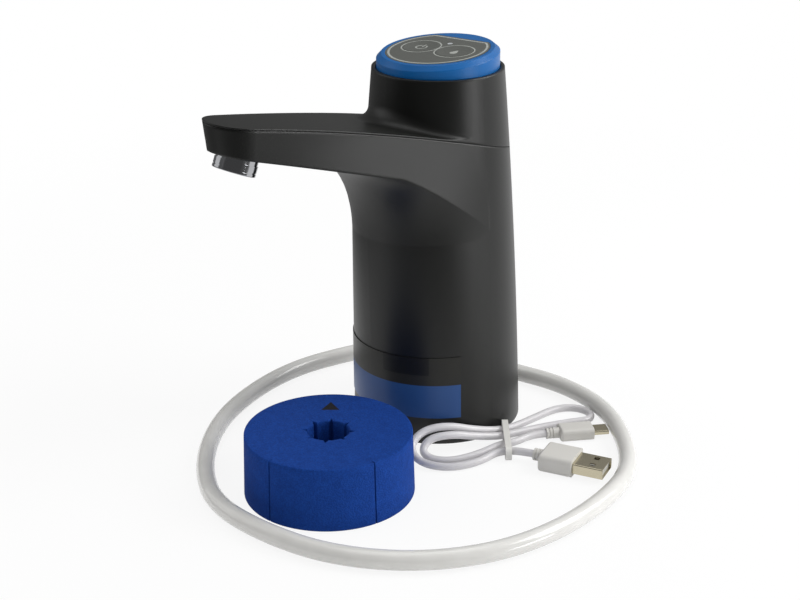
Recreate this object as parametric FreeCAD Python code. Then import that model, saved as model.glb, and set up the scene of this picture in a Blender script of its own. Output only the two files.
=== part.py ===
import FreeCAD, Part
import math
import os

os.makedirs("parts", exist_ok=True)

# The tap stands on its base at the origin, +Z up, with the spout towards -Y. Lengths are in millimetres.

# Driving sizes of the tap's body: a turned shape that narrows upwards along a gentle curve
base_radius = 36.8
body_taper = 0.0331
body_curve = 0.0001715
rim_height = 155.5
rim_radius = base_radius - body_taper * rim_height - body_curve * rim_height ** 2
wall = 2.4

# Blocks that trim the outside reach this far past it
block_half_width = 80.0
block_back = 60.0
block_beyond_tip = 35.0

# Spout: a wedge that leaves the neck, its levels counted down from the rim
spout_below_rim = 27.2
top_at_axis = rim_height - spout_below_rim
top_slope = 0.2645
top_sag = 0.0005
spout_depth = 19.0
underside_at_axis = top_at_axis - spout_depth
underside_slope = 0.2735
spout_wall = 2.2
parting_depth = 0.8
seam_depth = 0.4
seam_height = 0.25

# The spout's plan: the neck's circle and the tip's, with sides that swell out towards the underside
nozzle_reach = 101.0
nozzle_past_tip_centre = 1.0
tip_centre = nozzle_reach - nozzle_past_tip_centre
tip_radius = 13.5
tip_draft = 0.105
tip_level = rim_height - 5.5
plan_sink = 0.05
side_run = 40.0
swell_foot = underside_at_axis - 25.3
swell_top = underside_at_axis + 2.7
straight_from = underside_at_axis + 28.7
plan_top = rim_height + 2.5

# Fillet where the neck stands on the spout's top: wide in front, fading towards the sides
neck_fillet_front = 6.4
neck_fillet_side = 1.8

# The body's front stands forward below the spout as an ellipse that grows towards the top
bulge_inset = 0.6
bulge_foot = base_radius - bulge_inset
bulge_growth = 0.0288
bulge_sink = 0.15
bulge_top = underside_at_axis + 14.7
bulge_seat = 1.0
bulge_hollow_drop = 6.0

# The front then flares into the spout's underside
cove_foot = swell_foot
cove_bend = underside_at_axis + 10.7
cove_reach = 21.5
cove_overlap = 0.1
cove_sections = 8

# Crown: the blue cap, its top tilted towards the spout and its panel turned a little
crown_rise = 5.06
crown_height = rim_height + crown_rise
crown_tilt = 4.87
panel_turn = 10.0
rim_width = 2.0
crown_radius = rim_radius - rim_width
crown_seat = 6.0
crown_bottom = rim_height - crown_seat
crown_room = 30.0
crown_skirt = 2.2
crown_chamfer = 2.0
plateau = 1.9
crown_plate_under = -0.6
rim_gap = 0.3
ledge_drop = 2.0
ledge_lap = 1.7
film_margin = 3.8
film_radius = crown_radius - film_margin
film_gap = 0.1
film_chord = 16.9
film_thickness = 0.4
film_proud = 0.05
key_spacing = 17.2
key_radius = 7.8
key_gap = 0.2
key_proud = 0.1
key_dish = 0.5
key_rim = 0.8
key_flange_radius = 8.4
key_flange = 1.0
key_rest_gap = 0.1
key_travel = 0.5
stem_radius = 1.6
stem_gap = 0.3
switch_size = 6.0
switch_height = 3.0
well_depth = 1.6
board_thickness = 1.6
control_board_top = -8.3
board_inset = 2.0
control_board_radius = crown_radius - crown_skirt - board_inset
panel_post_inset = 2.9
panel_post_circle = control_board_radius - panel_post_inset
panel_post_radius = 2.2
panel_screw_bite = 6.0
panel_screw_head = 2.0
panel_post_angles = (90.0, 210.0, 330.0)
light_offset = 8.3
light_radius = 1.1
light_gap = 0.05
light_width = 2.0
light_depth = 1.6
light_height = 0.8

# Nozzle, square to the spout's underside
nozzle_lean = 22.0
nozzle_radius = 8.5
nozzle_length = 6.4
nozzle_sunk = 1.0
nozzle_lip = 1.2
nozzle_groove = 0.5
nozzle_groove_depth = 0.25
nozzle_shoulder = 2.2
nozzle_shoulder_depth = 0.3
nozzle_shoulder_radius = nozzle_radius - nozzle_shoulder_depth
nozzle_edge_round = 0.4
nozzle_hole_below = 4.0
nozzle_hole_above = 2.8
nozzle_bore = 6.4
nozzle_throat = 4.6
nozzle_neck_radius = 6.9
insert_thickness = 2.0
insert_inset = 0.8
insert_hole_radius = 0.8
elbow_radius = 9.8
elbow_gap = 0.3
elbow_headroom = 2.0
elbow_roof = 1.2
elbow_neck_depth = 4.2
pipe_stop = 7.6

# Base: recess for the bung, the plate that closes it and the hose's spigot
recess_wall = 2.8
recess_radius = base_radius - recess_wall
recess_depth = 26.0
plate_thickness = 3.0
plate_gap = 0.3
ledge_thickness = 2.0
ledge_width = 2.6
ledge_inner = recess_radius - ledge_width
spigot_radius = 3.2
spigot_bore = 2.0
spigot_length = 19.0
base_boss_inset = 5.0
base_boss_circle = recess_radius - base_boss_inset
base_boss_radius = 3.3
base_boss_top = 42.0
base_boss_angles = (90.0, 210.0, 330.0)
screw_radius = 1.4
screw_head_radius = 2.7
screw_head = 1.6
screw_slot = 0.8
screw_slot_depth = 0.6
clear_hole = 0.2
blind_end = 2.0

# Deck across the body, over the cell and the motor, that keeps them apart from the water's side
deck_thickness = 1.5
deck_above_cell = 1.0
deck_hole_gap = 0.25

# Screws that draw the upper housing down on the lower one
housing_boss_angles = (35.0, 145.0)
housing_boss_inset = 0.3
housing_boss_radius = 3.4
housing_lug_bottom = top_at_axis - 21.3
housing_boss_top = top_at_axis + 5.7
housing_screw_length = 22.0

# Gear pump under the motor, the battery beside them
pump_x = -6.0
gear_teeth = 10
gear_module = 1.0
gear_height = 5.8
gear_side_gap = 0.1
pocket_gap = 0.15
pump_floor = 2.0
pump_half_x = 10.2
pump_half_y = 13.4
cover_thickness = 2.6
shaft_radius = 1.0
shaft_fit = 0.04
pin_bite = 1.2
pump_channel_radius = 2.2
turret_x = -21.5
turret_radius = 4.6
pipe_radius = 3.5
pipe_bore = 2.5
pipe_socket = 4.0
pipe_rest = 0.4
pipe_level = spout_wall + pipe_rest + pipe_radius
pipe_turn_height = underside_at_axis + 9.7
pipe_reach = 44.0
motor_radius = 12.2
motor_length = 30.8
seal_radius = 3.0
seal_height = 1.4
battery_radius = 9.15
battery_length = 65.2
cradle_gap = 0.3
cradle_wall = 1.7
cradle_height = 12.0
cradle_to_ledge = 1.25
cell_button_radius = 2.8
cell_button_height = 0.8
battery_x = ledge_inner - cradle_to_ledge - cradle_wall - cradle_gap - battery_radius

# Charge board and its socket at the back
charge_height = 56.0
charge_board_inset = 8.0
charge_board_half = 10.0
charge_board_bottom = 49.0
charge_board_top = 77.0
charge_port_width = 7.5
charge_port_height = 2.9
charge_port_length = 8.0
charge_hole_gap = 0.4
charge_opening_corner = 1.2
board_post_x = 7.2
board_post_z = 71.0
board_screw_radius = 1.0
board_screw_head = 1.9
board_screw_head_height = 1.2
board_screw_bite = 4.0
board_post_radius = 2.2

# Label round the front
label_bottom = 12.0
label_top = 39.6
label_half_angle = 64.6
label_thickness = 0.3
label_gap = 0.05

# Bung, standing on the table in front
bung_x = 28.2
bung_y = -83.0
bung_squeeze = 0.4
bung_base_radius = recess_radius + bung_squeeze
bung_draft = 0.8
bung_top_radius = bung_base_radius - bung_draft
bung_proud = 0.2
bung_height = recess_depth + bung_proud
bung_edge_round = 0.8
bung_hole_radius = 8.5
bung_slits = 8
bung_slit_depth = 2.0
bung_slit_width = 1.8
bung_cut_angles = (-6.5, -80.7)
bung_cut_width = 0.6
bung_cut_depth = 2.0

# Hose: one loop on the table, wide open, its ends behind the tap
hose_radius = 3.8
hose_bore = 2.9
hose_lift = 0.05

# Lead
cable_radius = 1.65
lead_x = 50.0
lead_y = -2.0
lead_turn = 49.4
plug_run = 6.5

# Tie round the lead's hank
tie_width = 28.4
tie_height = 4.3
tie_bottom = 0.9
tie_thickness = 0.8
tie_length = 2.6
tie_x = -2.0
tie_middle = 0.3

# Plugs: the wide one's place, grip, relief and shell, then the small one's
wide_x = 25.3
wide_y = -22.6
wide_turn = -25.4
wide_level = 4.0
wide_body_length = 14.5
wide_body_width = 15.4
wide_body_height = 7.8
wide_body_corner = 2.2
wide_relief_length = 4.0
wide_relief_radius = 2.6
wide_shell_length = 13.0
wide_shell_width = 12.0
wide_shell_height = 4.5
wide_shell_wall = 0.35
wide_window = 2.3
wide_window_from = 6.6
wide_window_spread = 2.9
small_x = 35.2
small_y = 9.38
small_turn = 8.8
small_level = 2.8
small_body_length = 14.6
small_body_width = 9.6
small_body_height = 5.4
small_body_corner = 1.8
small_relief_length = 5.5
small_relief_radius = 2.3
small_shell_length = 6.8
small_shell_width = 6.9
small_shell_height = 1.9
small_shell_wall = 0.3
shell_corner = 0.5
shell_inner_corner = 0.3
tongue_short = 1.0

Z = FreeCAD.Vector(0, 0, 1)


def vec(x, y, z):
    return FreeCAD.Vector(x, y, z)


def cylinder(radius, height, x=0.0, y=0.0, z=0.0):
    return Part.makeCylinder(radius, height, vec(x, y, z), Z)


def box(x0, x1, y0, y1, z0, z1):
    return Part.makeBox(x1 - x0, y1 - y0, z1 - z0, vec(x0, y0, z0))


def polar(radius, angle, z=0.0):
    turn = math.radians(angle)
    return vec(radius * math.cos(turn), radius * math.sin(turn), z)


def turned(points):
    """Solid of revolution about Z from (radius, height) corners."""
    corners = [vec(r, 0, z) for r, z in points]
    outline = Part.makePolygon(corners + [corners[0]])
    return Part.Face(outline).revolve(vec(0, 0, 0), Z, 360)


def fused(shapes):
    joined = shapes[0]
    for shape in shapes[1:]:
        joined = joined.fuse(shape)
    return joined


def save(node, shape):
    shape.exportStep("parts/" + node + ".step")
    solids = shape.Solids
    print(node, "solids", len(solids), "volume", round(shape.Volume, 1), "valid", shape.isValid())


# Body and spout surfaces

def body_radius(z):
    """Outer radius of the turned body at a height."""
    return base_radius - body_taper * z - body_curve * z * z


def underside(reach):
    return underside_at_axis + underside_slope * reach


def spout_top(reach):
    return top_at_axis + top_slope * reach - top_sag * reach * reach


def body_solid(inset, bottom, top):
    """The turned body offset inwards, between two heights; its side is one parabola."""
    middle = (bottom + top) / 2
    pull = body_curve * ((top - bottom) / 2) ** 2
    foot = vec(body_radius(bottom) - inset, 0, bottom)
    bow = vec(body_radius(middle) - inset + pull, 0, middle)
    head = vec(body_radius(top) - inset, 0, top)
    curve = Part.BezierCurve()
    curve.setPoles([foot, bow, head])
    edges = [
        Part.makeLine(vec(0, 0, bottom), foot),
        curve.toShape(),
        Part.makeLine(head, vec(0, 0, top)),
        Part.makeLine(vec(0, 0, top), vec(0, 0, bottom)),
    ]
    return Part.Face(Part.Wire(edges)).revolve(vec(0, 0, 0), Z, 360)


def front_oval(z, grown):
    """Ellipse round the front of the body at a height, made larger all round."""
    side = body_radius(z) - bulge_sink + grown
    front = bulge_foot + bulge_growth * z + grown
    if front > side:
        return Part.Wire(Part.Ellipse(vec(0, -front, z), vec(side, 0, z), vec(0, 0, z)).toShape())
    return Part.Wire(Part.Ellipse(vec(side, 0, z), vec(0, -front, z), vec(0, 0, z)).toShape())


def block_front():
    return -tip_centre - block_beyond_tip


def front_half(bottom, top):
    return box(-block_half_width, block_half_width, block_front(), 0, bottom, top)


def bulge_solid(inset, bottom, top):
    """Elliptical front of the body, lofted through five heights."""
    heights = [bottom + (top - bottom) * step / 4 for step in range(5)]
    oval = Part.makeLoft([front_oval(z, -inset) for z in heights], True, False)
    return oval.common(front_half(bottom, top))


def cove_solid():
    """Flare from the body's front into the spout's underside, along a quadratic curve."""
    tip = bulge_foot + bulge_growth * cove_bend + cove_reach
    head = underside(tip) + cove_overlap
    sections = []
    for step in range(cove_sections):
        t = step / (cove_sections - 1)
        z = (1 - t) * (1 - t) * cove_foot + 2 * t * (1 - t) * cove_bend + t * t * head
        sections.append(front_oval(z, cove_reach * t * t - bulge_sink))
    return Part.makeLoft(sections, True, False)


def quadratic(start, pull, end):
    curve = Part.BezierCurve()
    curve.setPoles([start, pull, end])
    return curve.toShape()


def plan_wire(z, inset, swell):
    """Plan of neck and spout at a height. With no swell the sides are the two circles' tangents;
    with a full swell they leave the neck straight ahead and bend in towards the tip."""
    neck = body_radius(z) - plan_sink - inset
    tip = tip_radius + tip_draft * (z - tip_level) - inset
    leave = math.asin((neck - tip) / tip_centre) * (1 - swell)
    start = vec(neck * math.cos(leave), -neck * math.sin(leave), z)
    pull = start + vec(-math.sin(leave), -math.cos(leave), 0) * side_run
    across = pull.x
    ahead = tip_centre + pull.y
    arrive = math.atan2(across, ahead) - math.asin(tip / math.hypot(across, ahead))
    end = vec(tip * math.cos(arrive), -tip_centre - tip * math.sin(arrive), z)
    left_start, left_pull, left_end = [vec(-p.x, p.y, z) for p in (start, pull, end)]
    edges = [
        Part.Arc(start, vec(0, neck, z), left_start).toShape(),
        quadratic(left_start, left_pull, left_end),
        Part.Arc(left_end, vec(0, -tip_centre - tip, z), end).toShape(),
        quadratic(end, pull, start),
    ]
    return Part.Wire(edges)


def plan_prism(inset):
    levels = ((swell_foot, 1.0), (swell_top, 1.0), (straight_from, 0.0), (plan_top, 0.0))
    return Part.makeLoft([plan_wire(z, inset, swell) for z, swell in levels], True, False)


def side_view(lower, upper):
    """Closed outline, seen from the side, between two levels; the upper one is the spout's top lowered."""
    near = -block_back
    far = -block_front()
    middle = (near + far) / 2
    low_near = vec(-block_half_width, -near, lower(near))
    low_far = vec(-block_half_width, -far, lower(far))
    top_near = vec(-block_half_width, -near, spout_top(near) - upper)
    top_middle = vec(-block_half_width, -middle, spout_top(middle) - upper)
    top_far = vec(-block_half_width, -far, spout_top(far) - upper)
    edges = [
        Part.makeLine(low_near, low_far),
        Part.makeLine(low_far, top_far),
        Part.Arc(top_far, top_middle, top_near).toShape(),
        Part.makeLine(top_near, low_near),
    ]
    return Part.Face(Part.Wire(edges)).extrude(vec(2 * block_half_width, 0, 0))


def side_slab(lift, drop):
    """Everything between the raised underside and the lowered top of the spout."""
    return side_view(lambda reach: underside(reach) + lift, drop)


def below_parting(drop):
    """Everything under the parting surface, which follows the spout's top."""
    return side_view(lambda reach: -5.0, drop)


def neck_quarter():
    """Front right quarter of the neck on the spout's top, with the fillet that fades to the side."""
    block = body_solid(0, 0, rim_height).fuse(side_slab(0, 0))
    block = block.common(box(0, block_half_width, block_front(), 0, 0, rim_height + 1))
    for edge in block.Edges:
        size = edge.BoundBox
        level = (size.ZMin + size.ZMax) / 2
        round_neck = min(size.XLength, size.YLength) > rim_radius / 2
        if round_neck and underside_at_axis + spout_depth / 2 < level < rim_height - crown_seat:
            ring = edge
    front_first = ring.valueAt(ring.FirstParameter).x < ring.valueAt(ring.LastParameter).x
    if front_first:
        return block.makeFillet(neck_fillet_front, neck_fillet_side, [ring])
    return block.makeFillet(neck_fillet_side, neck_fillet_front, [ring])


def housing_outside():
    """Body, neck and spout as one outer shape, before it is parted and hollowed."""
    body = body_solid(0, 0, rim_height)
    slab = side_slab(0, 0)
    plan = plan_prism(0).common(front_half(swell_foot, plan_top))
    quarter = neck_quarter()
    neck = quarter.fuse(quarter.mirror(vec(0, 0, 0), vec(1, 0, 0)))
    over = neck.common(plan).cut(below_parting(2 * parting_depth))
    under = cove_solid().fuse(slab).common(plan).common(below_parting(parting_depth))
    bulge = bulge_solid(0, 0, bulge_top).cut(side_slab(bulge_seat, 0))
    return body.fuse(bulge).fuse(under).fuse(over).removeSplitter()


def housing_inside():
    """Hollow of the body, and the spout's channel up to the parting surface."""
    cavity = body_solid(wall, floor_top(), crown_bottom - ledge_drop)
    cavity = cavity.fuse(bulge_solid(wall, floor_top(), bulge_top - bulge_hollow_drop))
    channel = plan_prism(spout_wall).common(side_slab(spout_wall, parting_depth))
    return cavity.fuse(channel.common(front_half(swell_foot, plan_top)))


def seam_ring():
    """Thin groove round the outside along the lower edge of the upper housing."""
    band = below_parting(parting_depth - seam_height).cut(below_parting(parting_depth))
    spout_core = plan_prism(seam_depth).common(front_half(swell_foot, plan_top))
    return band.cut(body_solid(seam_depth, 0, rim_height).fuse(spout_core))


# Tilted frames: the crown's panel and the nozzle

def moved(shape, place):
    copy = shape.copy()
    copy.Placement = place.multiply(copy.Placement)
    return copy


def on_crown(shape):
    """Places a shape drawn flat about the origin on the crown's tilted, turned panel."""
    turn = FreeCAD.Rotation(vec(1, 0, 0), crown_tilt).multiply(FreeCAD.Rotation(Z, panel_turn))
    return moved(shape, FreeCAD.Placement(vec(0, 0, crown_height), turn))


def on_nozzle(shape):
    """Places a shape drawn about the origin on the nozzle's axis at the underside."""
    return at_underside(shape, nozzle_lean)


def on_floor(shape):
    """Places a shape drawn about the origin square to the spout's floor at the nozzle."""
    return at_underside(shape, math.degrees(math.atan(underside_slope)))


def at_underside(shape, lean):
    place = FreeCAD.Placement(
        vec(0, -nozzle_reach, underside(nozzle_reach)),
        FreeCAD.Rotation(vec(1, 0, 0), -lean),
    )
    return moved(shape, place)


# Screws: one shape for all, head at the given point and shank along Z, up or down

def screw(x, y, z, length, radius=screw_radius, head_radius=screw_head_radius):
    head = cylinder(head_radius, screw_head, x, y, z - screw_head)
    shank = cylinder(radius, length, x, y, z)
    half = screw_slot / 2
    slot = box(x - half, x + half, y - head_radius, y + head_radius, z - screw_head,
               z - screw_head + screw_slot_depth)
    return head.fuse(shank).cut(slot)


def at_angles(radius, angles):
    return [polar(radius, angle) for angle in angles]


def holes(radius, spots, bottom, top):
    return fused([cylinder(radius, top - bottom, s.x, s.y, bottom) for s in spots])


# Housings

def housing_boss_spots():
    """The upper housing's screws stand just inside the crown's skirt."""
    return at_angles(crown_radius - housing_boss_inset, housing_boss_angles)


def base_boss_spots():
    return at_angles(base_boss_circle, base_boss_angles)


def housing_bosses():
    return holes(housing_boss_radius, housing_boss_spots(), housing_lug_bottom, housing_boss_top)


def mid_wall():
    """Fills the body to the middle of its wall, so that what stands inside joins it."""
    return body_solid(wall / 2, floor_top(), rim_height - crown_seat - ledge_drop)


def recess():
    """Hollow under the tap: the straight bore for the bung, and a wider pocket for the base plate."""
    bore = cylinder(recess_radius, recess_depth, 0, 0, 0)
    return bore.fuse(cylinder(recess_radius + plate_gap, plate_thickness, 0, 0, recess_depth))


def base_ledge():
    """Ring that the base plate is screwed up to, with its bosses."""
    ring = cylinder(base_radius, ledge_thickness, 0, 0, floor_top())
    ring = ring.cut(cylinder(ledge_inner, ledge_thickness, 0, 0, floor_top()))
    return ring.fuse(holes(base_boss_radius, base_boss_spots(), floor_top(), base_boss_top))


def deck():
    """Wall across the body just above the cell, with a hole for the pipe."""
    bottom = floor_top() + battery_length + cell_button_height + deck_above_cell
    plate = cylinder(base_radius, deck_thickness, 0, 0, bottom)
    return plate.cut(cylinder(pipe_radius + deck_hole_gap, deck_thickness, turret_x, 0, bottom))


def lower_housing(outside, inside):
    """Body and spout trough with the bung recess, ledge, deck, screw lugs and openings."""
    shape = outside.common(below_parting(parting_depth)).cut(inside).cut(recess())
    lugs = housing_bosses().common(below_parting(parting_depth))
    posts = fused([charge_post(x) for x in (-board_post_x, board_post_x)])
    shape = shape.fuse(base_ledge().fuse(deck()).fuse(lugs).fuse(posts).common(mid_wall()))
    shape = shape.cut(holes(screw_radius, base_boss_spots(), floor_top(), base_boss_top - blind_end))
    clear = screw_radius + clear_hole
    shape = shape.cut(holes(clear, housing_boss_spots(), housing_lug_bottom, housing_boss_top))
    shape = shape.cut(charge_screw_holes()).cut(charge_opening())
    through = nozzle_hole_below + spout_wall + nozzle_hole_above
    nozzle_hole = cylinder(nozzle_shoulder_radius + clear_hole, through, 0, 0, -nozzle_hole_below)
    return shape.cut(on_nozzle(nozzle_hole)).removeSplitter()


def upper_housing(outside, inside):
    """Neck with the seat for the crown, and the spout's top plate."""
    shape = outside.cut(below_parting(parting_depth)).cut(inside).cut(seam_ring())
    shape = shape.cut(cylinder(crown_radius + rim_gap, crown_room, 0, 0, crown_bottom))
    below_seat = crown_bottom - ledge_drop
    shape = shape.cut(cylinder(crown_radius - ledge_lap, 3 * ledge_drop, 0, 0, below_seat - 1))
    shape = shape.fuse(housing_bosses().cut(below_parting(parting_depth)).common(mid_wall()))
    depth = housing_lug_bottom + housing_screw_length
    shape = shape.cut(holes(screw_radius, housing_boss_spots(), housing_lug_bottom, depth))
    return shape.removeSplitter()


def housing_screws():
    return [screw(s.x, s.y, housing_lug_bottom, housing_screw_length) for s in housing_boss_spots()]


def grown_front(out):
    """The body's front grown outwards, high enough for the label."""
    return body_solid(-out, 0, rim_height).fuse(bulge_solid(-out, 0, bulge_top))


def label():
    """Sticker wrapped round the front, a hair off the body."""
    band = grown_front(label_gap + label_thickness).cut(grown_front(label_gap))
    far = 2 * base_radius
    corners = [vec(0, 0, label_bottom)]
    for angle in (-90 - label_half_angle, -90, -90 + label_half_angle):
        corners.append(polar(far, angle, label_bottom))
    corners.append(corners[0])
    window = Part.Face(Part.makePolygon(corners)).extrude(vec(0, 0, label_top - label_bottom))
    return band.common(window).removeSplitter()


# Crown: cap, film, keys, light and the board under them

def key_spots():
    return [vec(-key_spacing / 2, 0, 0), vec(key_spacing / 2, 0, 0)]


def crown_openings():
    bottom = crown_plate_under - 1
    height = plateau + 2 - bottom
    cuts = [cylinder(key_radius + key_gap, height, s.x, s.y, bottom) for s in key_spots()]
    cuts.append(cylinder(light_radius + light_gap, height, 0, light_offset, bottom))
    return fused(cuts)


def film_plan(radius, chord, bottom, thickness):
    disc = cylinder(radius, thickness, 0, 0, bottom)
    return disc.cut(box(-radius, radius, chord, radius + 1, bottom - 1, bottom + thickness + 1))


def crown_cap():
    """Blue cap: straight skirt, chamfered tilted top, posts for the board."""
    slope = crown_chamfer / plateau
    low = -crown_room
    top = turned([
        (0, low),
        (crown_radius - slope * low, low),
        (crown_radius - crown_chamfer, plateau),
        (0, plateau),
    ])
    skirt = cylinder(crown_radius, crown_room, 0, 0, crown_bottom)
    cap = skirt.common(on_crown(top))
    room = cylinder(crown_radius - crown_skirt, crown_room, 0, 0, crown_bottom)
    below_plate = cylinder(2 * crown_radius, crown_room, 0, 0, crown_plate_under - crown_room)
    room = room.common(on_crown(below_plate))
    cap = cap.cut(room)
    recess = film_plan(film_radius, film_chord, plateau + film_proud - film_thickness, film_thickness)
    posts = panel_posts(crown_plate_under, control_board_top)
    cap = cap.fuse(on_crown(posts))
    cap = cap.cut(on_crown(recess.fuse(crown_openings())))
    cap = cap.cut(on_crown(panel_screw_shanks(crown_plate_under - 1, control_board_top)))
    return cap.removeSplitter()


def panel_spots():
    return at_angles(panel_post_circle, panel_post_angles)


def panel_posts(top, bottom):
    return holes(panel_post_radius, panel_spots(), bottom, top)


def panel_screw_shanks(top, bottom):
    return holes(board_screw_radius, panel_spots(), bottom, top)


def control_film():
    bottom = plateau + film_proud - film_thickness
    film = film_plan(film_radius - film_gap, film_chord - film_gap, bottom, film_thickness)
    return on_crown(film.cut(crown_openings()))


def key(x):
    """Round key with a dished top, a flange that holds it in and a stem for its switch."""
    top = plateau + film_proud + key_proud
    flange_top = crown_plate_under - key_rest_gap
    flange_bottom = flange_top - key_flange
    body = cylinder(key_radius, top - flange_bottom, x, 0, flange_bottom)
    body = body.fuse(cylinder(key_flange_radius, key_flange, x, 0, flange_bottom))
    stem_end = control_board_top + switch_height - stem_gap
    body = body.fuse(cylinder(stem_radius, flange_bottom - stem_end, x, 0, stem_end))
    rim = key_radius - key_rim
    ball = (rim * rim + key_dish * key_dish) / (2 * key_dish)
    dish = Part.makeSphere(ball, vec(x, 0, top + ball - key_dish))
    return on_crown(body.cut(dish).removeSplitter())


def button_switches():
    switches = []
    half = switch_size / 2
    top = control_board_top + switch_height
    for spot in key_spots():
        block = box(spot.x - half, spot.x + half, -half, half, control_board_top, top)
        block = block.cut(cylinder(stem_radius + stem_gap, well_depth, spot.x, 0, top - well_depth))
        switches.append(on_crown(block))
    return switches


def light_pipe():
    bottom = control_board_top + light_height
    return on_crown(cylinder(light_radius, plateau + film_proud - bottom, 0, light_offset, bottom))


def status_light():
    half = light_width / 2
    near = light_offset - light_depth / 2
    top = control_board_top + light_height
    return on_crown(box(-half, half, near, near + light_depth, control_board_top, top))


def control_board():
    board = cylinder(control_board_radius, board_thickness, 0, 0, control_board_top - board_thickness)
    board = board.cut(panel_screw_shanks(control_board_top + 1, control_board_top - board_thickness - 1))
    return on_crown(board)


def panel_screws():
    start = control_board_top - board_thickness
    length = board_thickness + panel_screw_bite
    made = []
    for spot in panel_spots():
        made.append(on_crown(screw(spot.x, spot.y, start, length, board_screw_radius, panel_screw_head)))
    return made


# Nozzle and the water's way up to it

def outlet_nozzle():
    """Chrome ring with a lip and a shoulder, and a threaded neck up through the spout's floor."""
    ring = cylinder(nozzle_radius, nozzle_length - nozzle_shoulder, 0, 0, -nozzle_length)
    mouth_edge = [e for e in ring.Edges if abs(e.BoundBox.ZMax + nozzle_length) < 0.01]
    ring = ring.makeFillet(nozzle_edge_round, mouth_edge)
    groove = cylinder(nozzle_radius, nozzle_groove, 0, 0, nozzle_lip - nozzle_length)
    core = cylinder(nozzle_radius - nozzle_groove_depth, nozzle_groove, 0, 0, nozzle_lip - nozzle_length)
    ring = ring.cut(groove.cut(core))
    shoulder = cylinder(nozzle_shoulder_radius, nozzle_shoulder + nozzle_sunk, 0, 0, -nozzle_shoulder)
    shape = ring.fuse(shoulder).fuse(cylinder(nozzle_neck_radius, elbow_neck_depth, 0, 0, 0))
    shape = shape.cut(cylinder(nozzle_bore, insert_inset + insert_thickness, 0, 0, -nozzle_length))
    shape = shape.cut(cylinder(nozzle_throat, nozzle_length + elbow_neck_depth, 0, 0, -nozzle_length))
    return on_nozzle(shape)


def flow_straightener():
    """Perforated disc inside the nozzle's mouth."""
    bottom = -nozzle_length + insert_inset
    disc = cylinder(nozzle_bore, insert_thickness, 0, 0, bottom)
    for ring_radius, count in ((0.0, 1), (2.3, 6), (4.6, 12)):
        for step in range(count):
            spot = polar(ring_radius, 360.0 * step / count)
            disc = disc.cut(cylinder(insert_hole_radius, insert_thickness, spot.x, spot.y, bottom))
    return on_nozzle(disc)


def spout_elbow():
    """Chamber over the nozzle that takes the pipe from the side."""
    bottom = spout_wall + elbow_gap
    room = spout_top(nozzle_reach) - parting_depth - underside(nozzle_reach)
    top = room * math.cos(math.atan(underside_slope)) - elbow_headroom
    shape = cylinder(elbow_radius, top - bottom, 0, 0, bottom)
    shape = shape.cut(cylinder(nozzle_throat, top - elbow_roof - bottom, 0, 0, bottom))
    socket = Part.makeCylinder(pipe_radius, elbow_radius, vec(0, pipe_stop, pipe_level), vec(0, 1, 0))
    bore = Part.makeCylinder(pipe_bore, elbow_radius, vec(0, 0, pipe_level), vec(0, 1, 0))
    shape = on_floor(shape.cut(socket).cut(bore))
    return shape.cut(on_nozzle(cylinder(nozzle_neck_radius, elbow_neck_depth + 10, 0, 0, -10)))


def routed(points, softness=0.45):
    """Wire through the points: straight runs joined by arcs that touch both of them."""
    edges = []
    start = points[0]
    radii = []
    for i in range(1, len(points) - 1):
        before = points[i] - points[i - 1]
        after = points[i + 1] - points[i]
        cut = softness * min(before.Length, after.Length)
        turn = before.getAngle(after)
        radii.append(cut / math.tan(turn / 2))
        a = points[i] - before.normalize() * cut
        b = points[i] + after.normalize() * cut
        to_middle = (a + b) * 0.5 - points[i]
        half = math.pi / 2 - turn / 2
        radius = cut * math.tan(half)
        centre = points[i] + to_middle.normalize() * (cut / math.cos(half))
        middle = centre + (points[i] - centre).normalize() * radius
        edges.append(Part.LineSegment(start, a).toShape())
        edges.append(Part.Arc(a, middle, b).toShape())
        start = b
    edges.append(Part.LineSegment(start, points[-1]).toShape())
    return Part.Wire(edges), radii


def tube(points, radius, bore=0.0):
    """Round tube, or rod where it has no bore, along the routed wire."""
    wire, radii = routed(points)
    direction = points[1] - points[0]
    outer = Part.Wire(Part.Circle(points[0], direction, radius).toShape())
    solid = wire.makePipeShell([outer], True, False)
    section = math.pi * radius * radius
    if bore > 0:
        inner = Part.Wire(Part.Circle(points[0], direction, bore).toShape())
        solid = solid.cut(wire.makePipeShell([inner], True, False))
        section -= math.pi * bore * bore
    print("tube length", round(wire.Length, 1), "smallest radius", round(min(radii), 1),
          "volume ratio", round(solid.Volume / (section * wire.Length), 4))
    return solid


def nozzle_point(back, level):
    """Point above the spout's floor, a distance back from the nozzle's axis."""
    lean = math.atan(underside_slope)
    start = vec(0, -nozzle_reach, underside(nozzle_reach))
    along = vec(0, math.cos(lean), -math.sin(lean))
    up = vec(0, math.sin(lean), math.cos(lean))
    return start + along * back + up * level


def delivery_pipe():
    """Moulded pipe from the pump's turret up the body and along the spout."""
    end = nozzle_point(pipe_stop, pipe_level)
    bend = nozzle_point(nozzle_reach - pipe_reach, pipe_level)
    points = [
        vec(turret_x, 0, pump_top() - pipe_socket),
        vec(turret_x, 0, pipe_turn_height),
        bend,
        end,
    ]
    return tube(points, pipe_radius, pipe_bore)


# Base plate, pump, motor and battery

def floor_top():
    return recess_depth + plate_thickness


def pocket_bottom():
    return floor_top() + pump_floor


def pocket_top():
    return pocket_bottom() + gear_height + 2 * gear_side_gap


def pump_top():
    return pocket_top() + cover_thickness


def gear_centre(side):
    return vec(pump_x, side * gear_teeth * gear_module / 2, 0)


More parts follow.
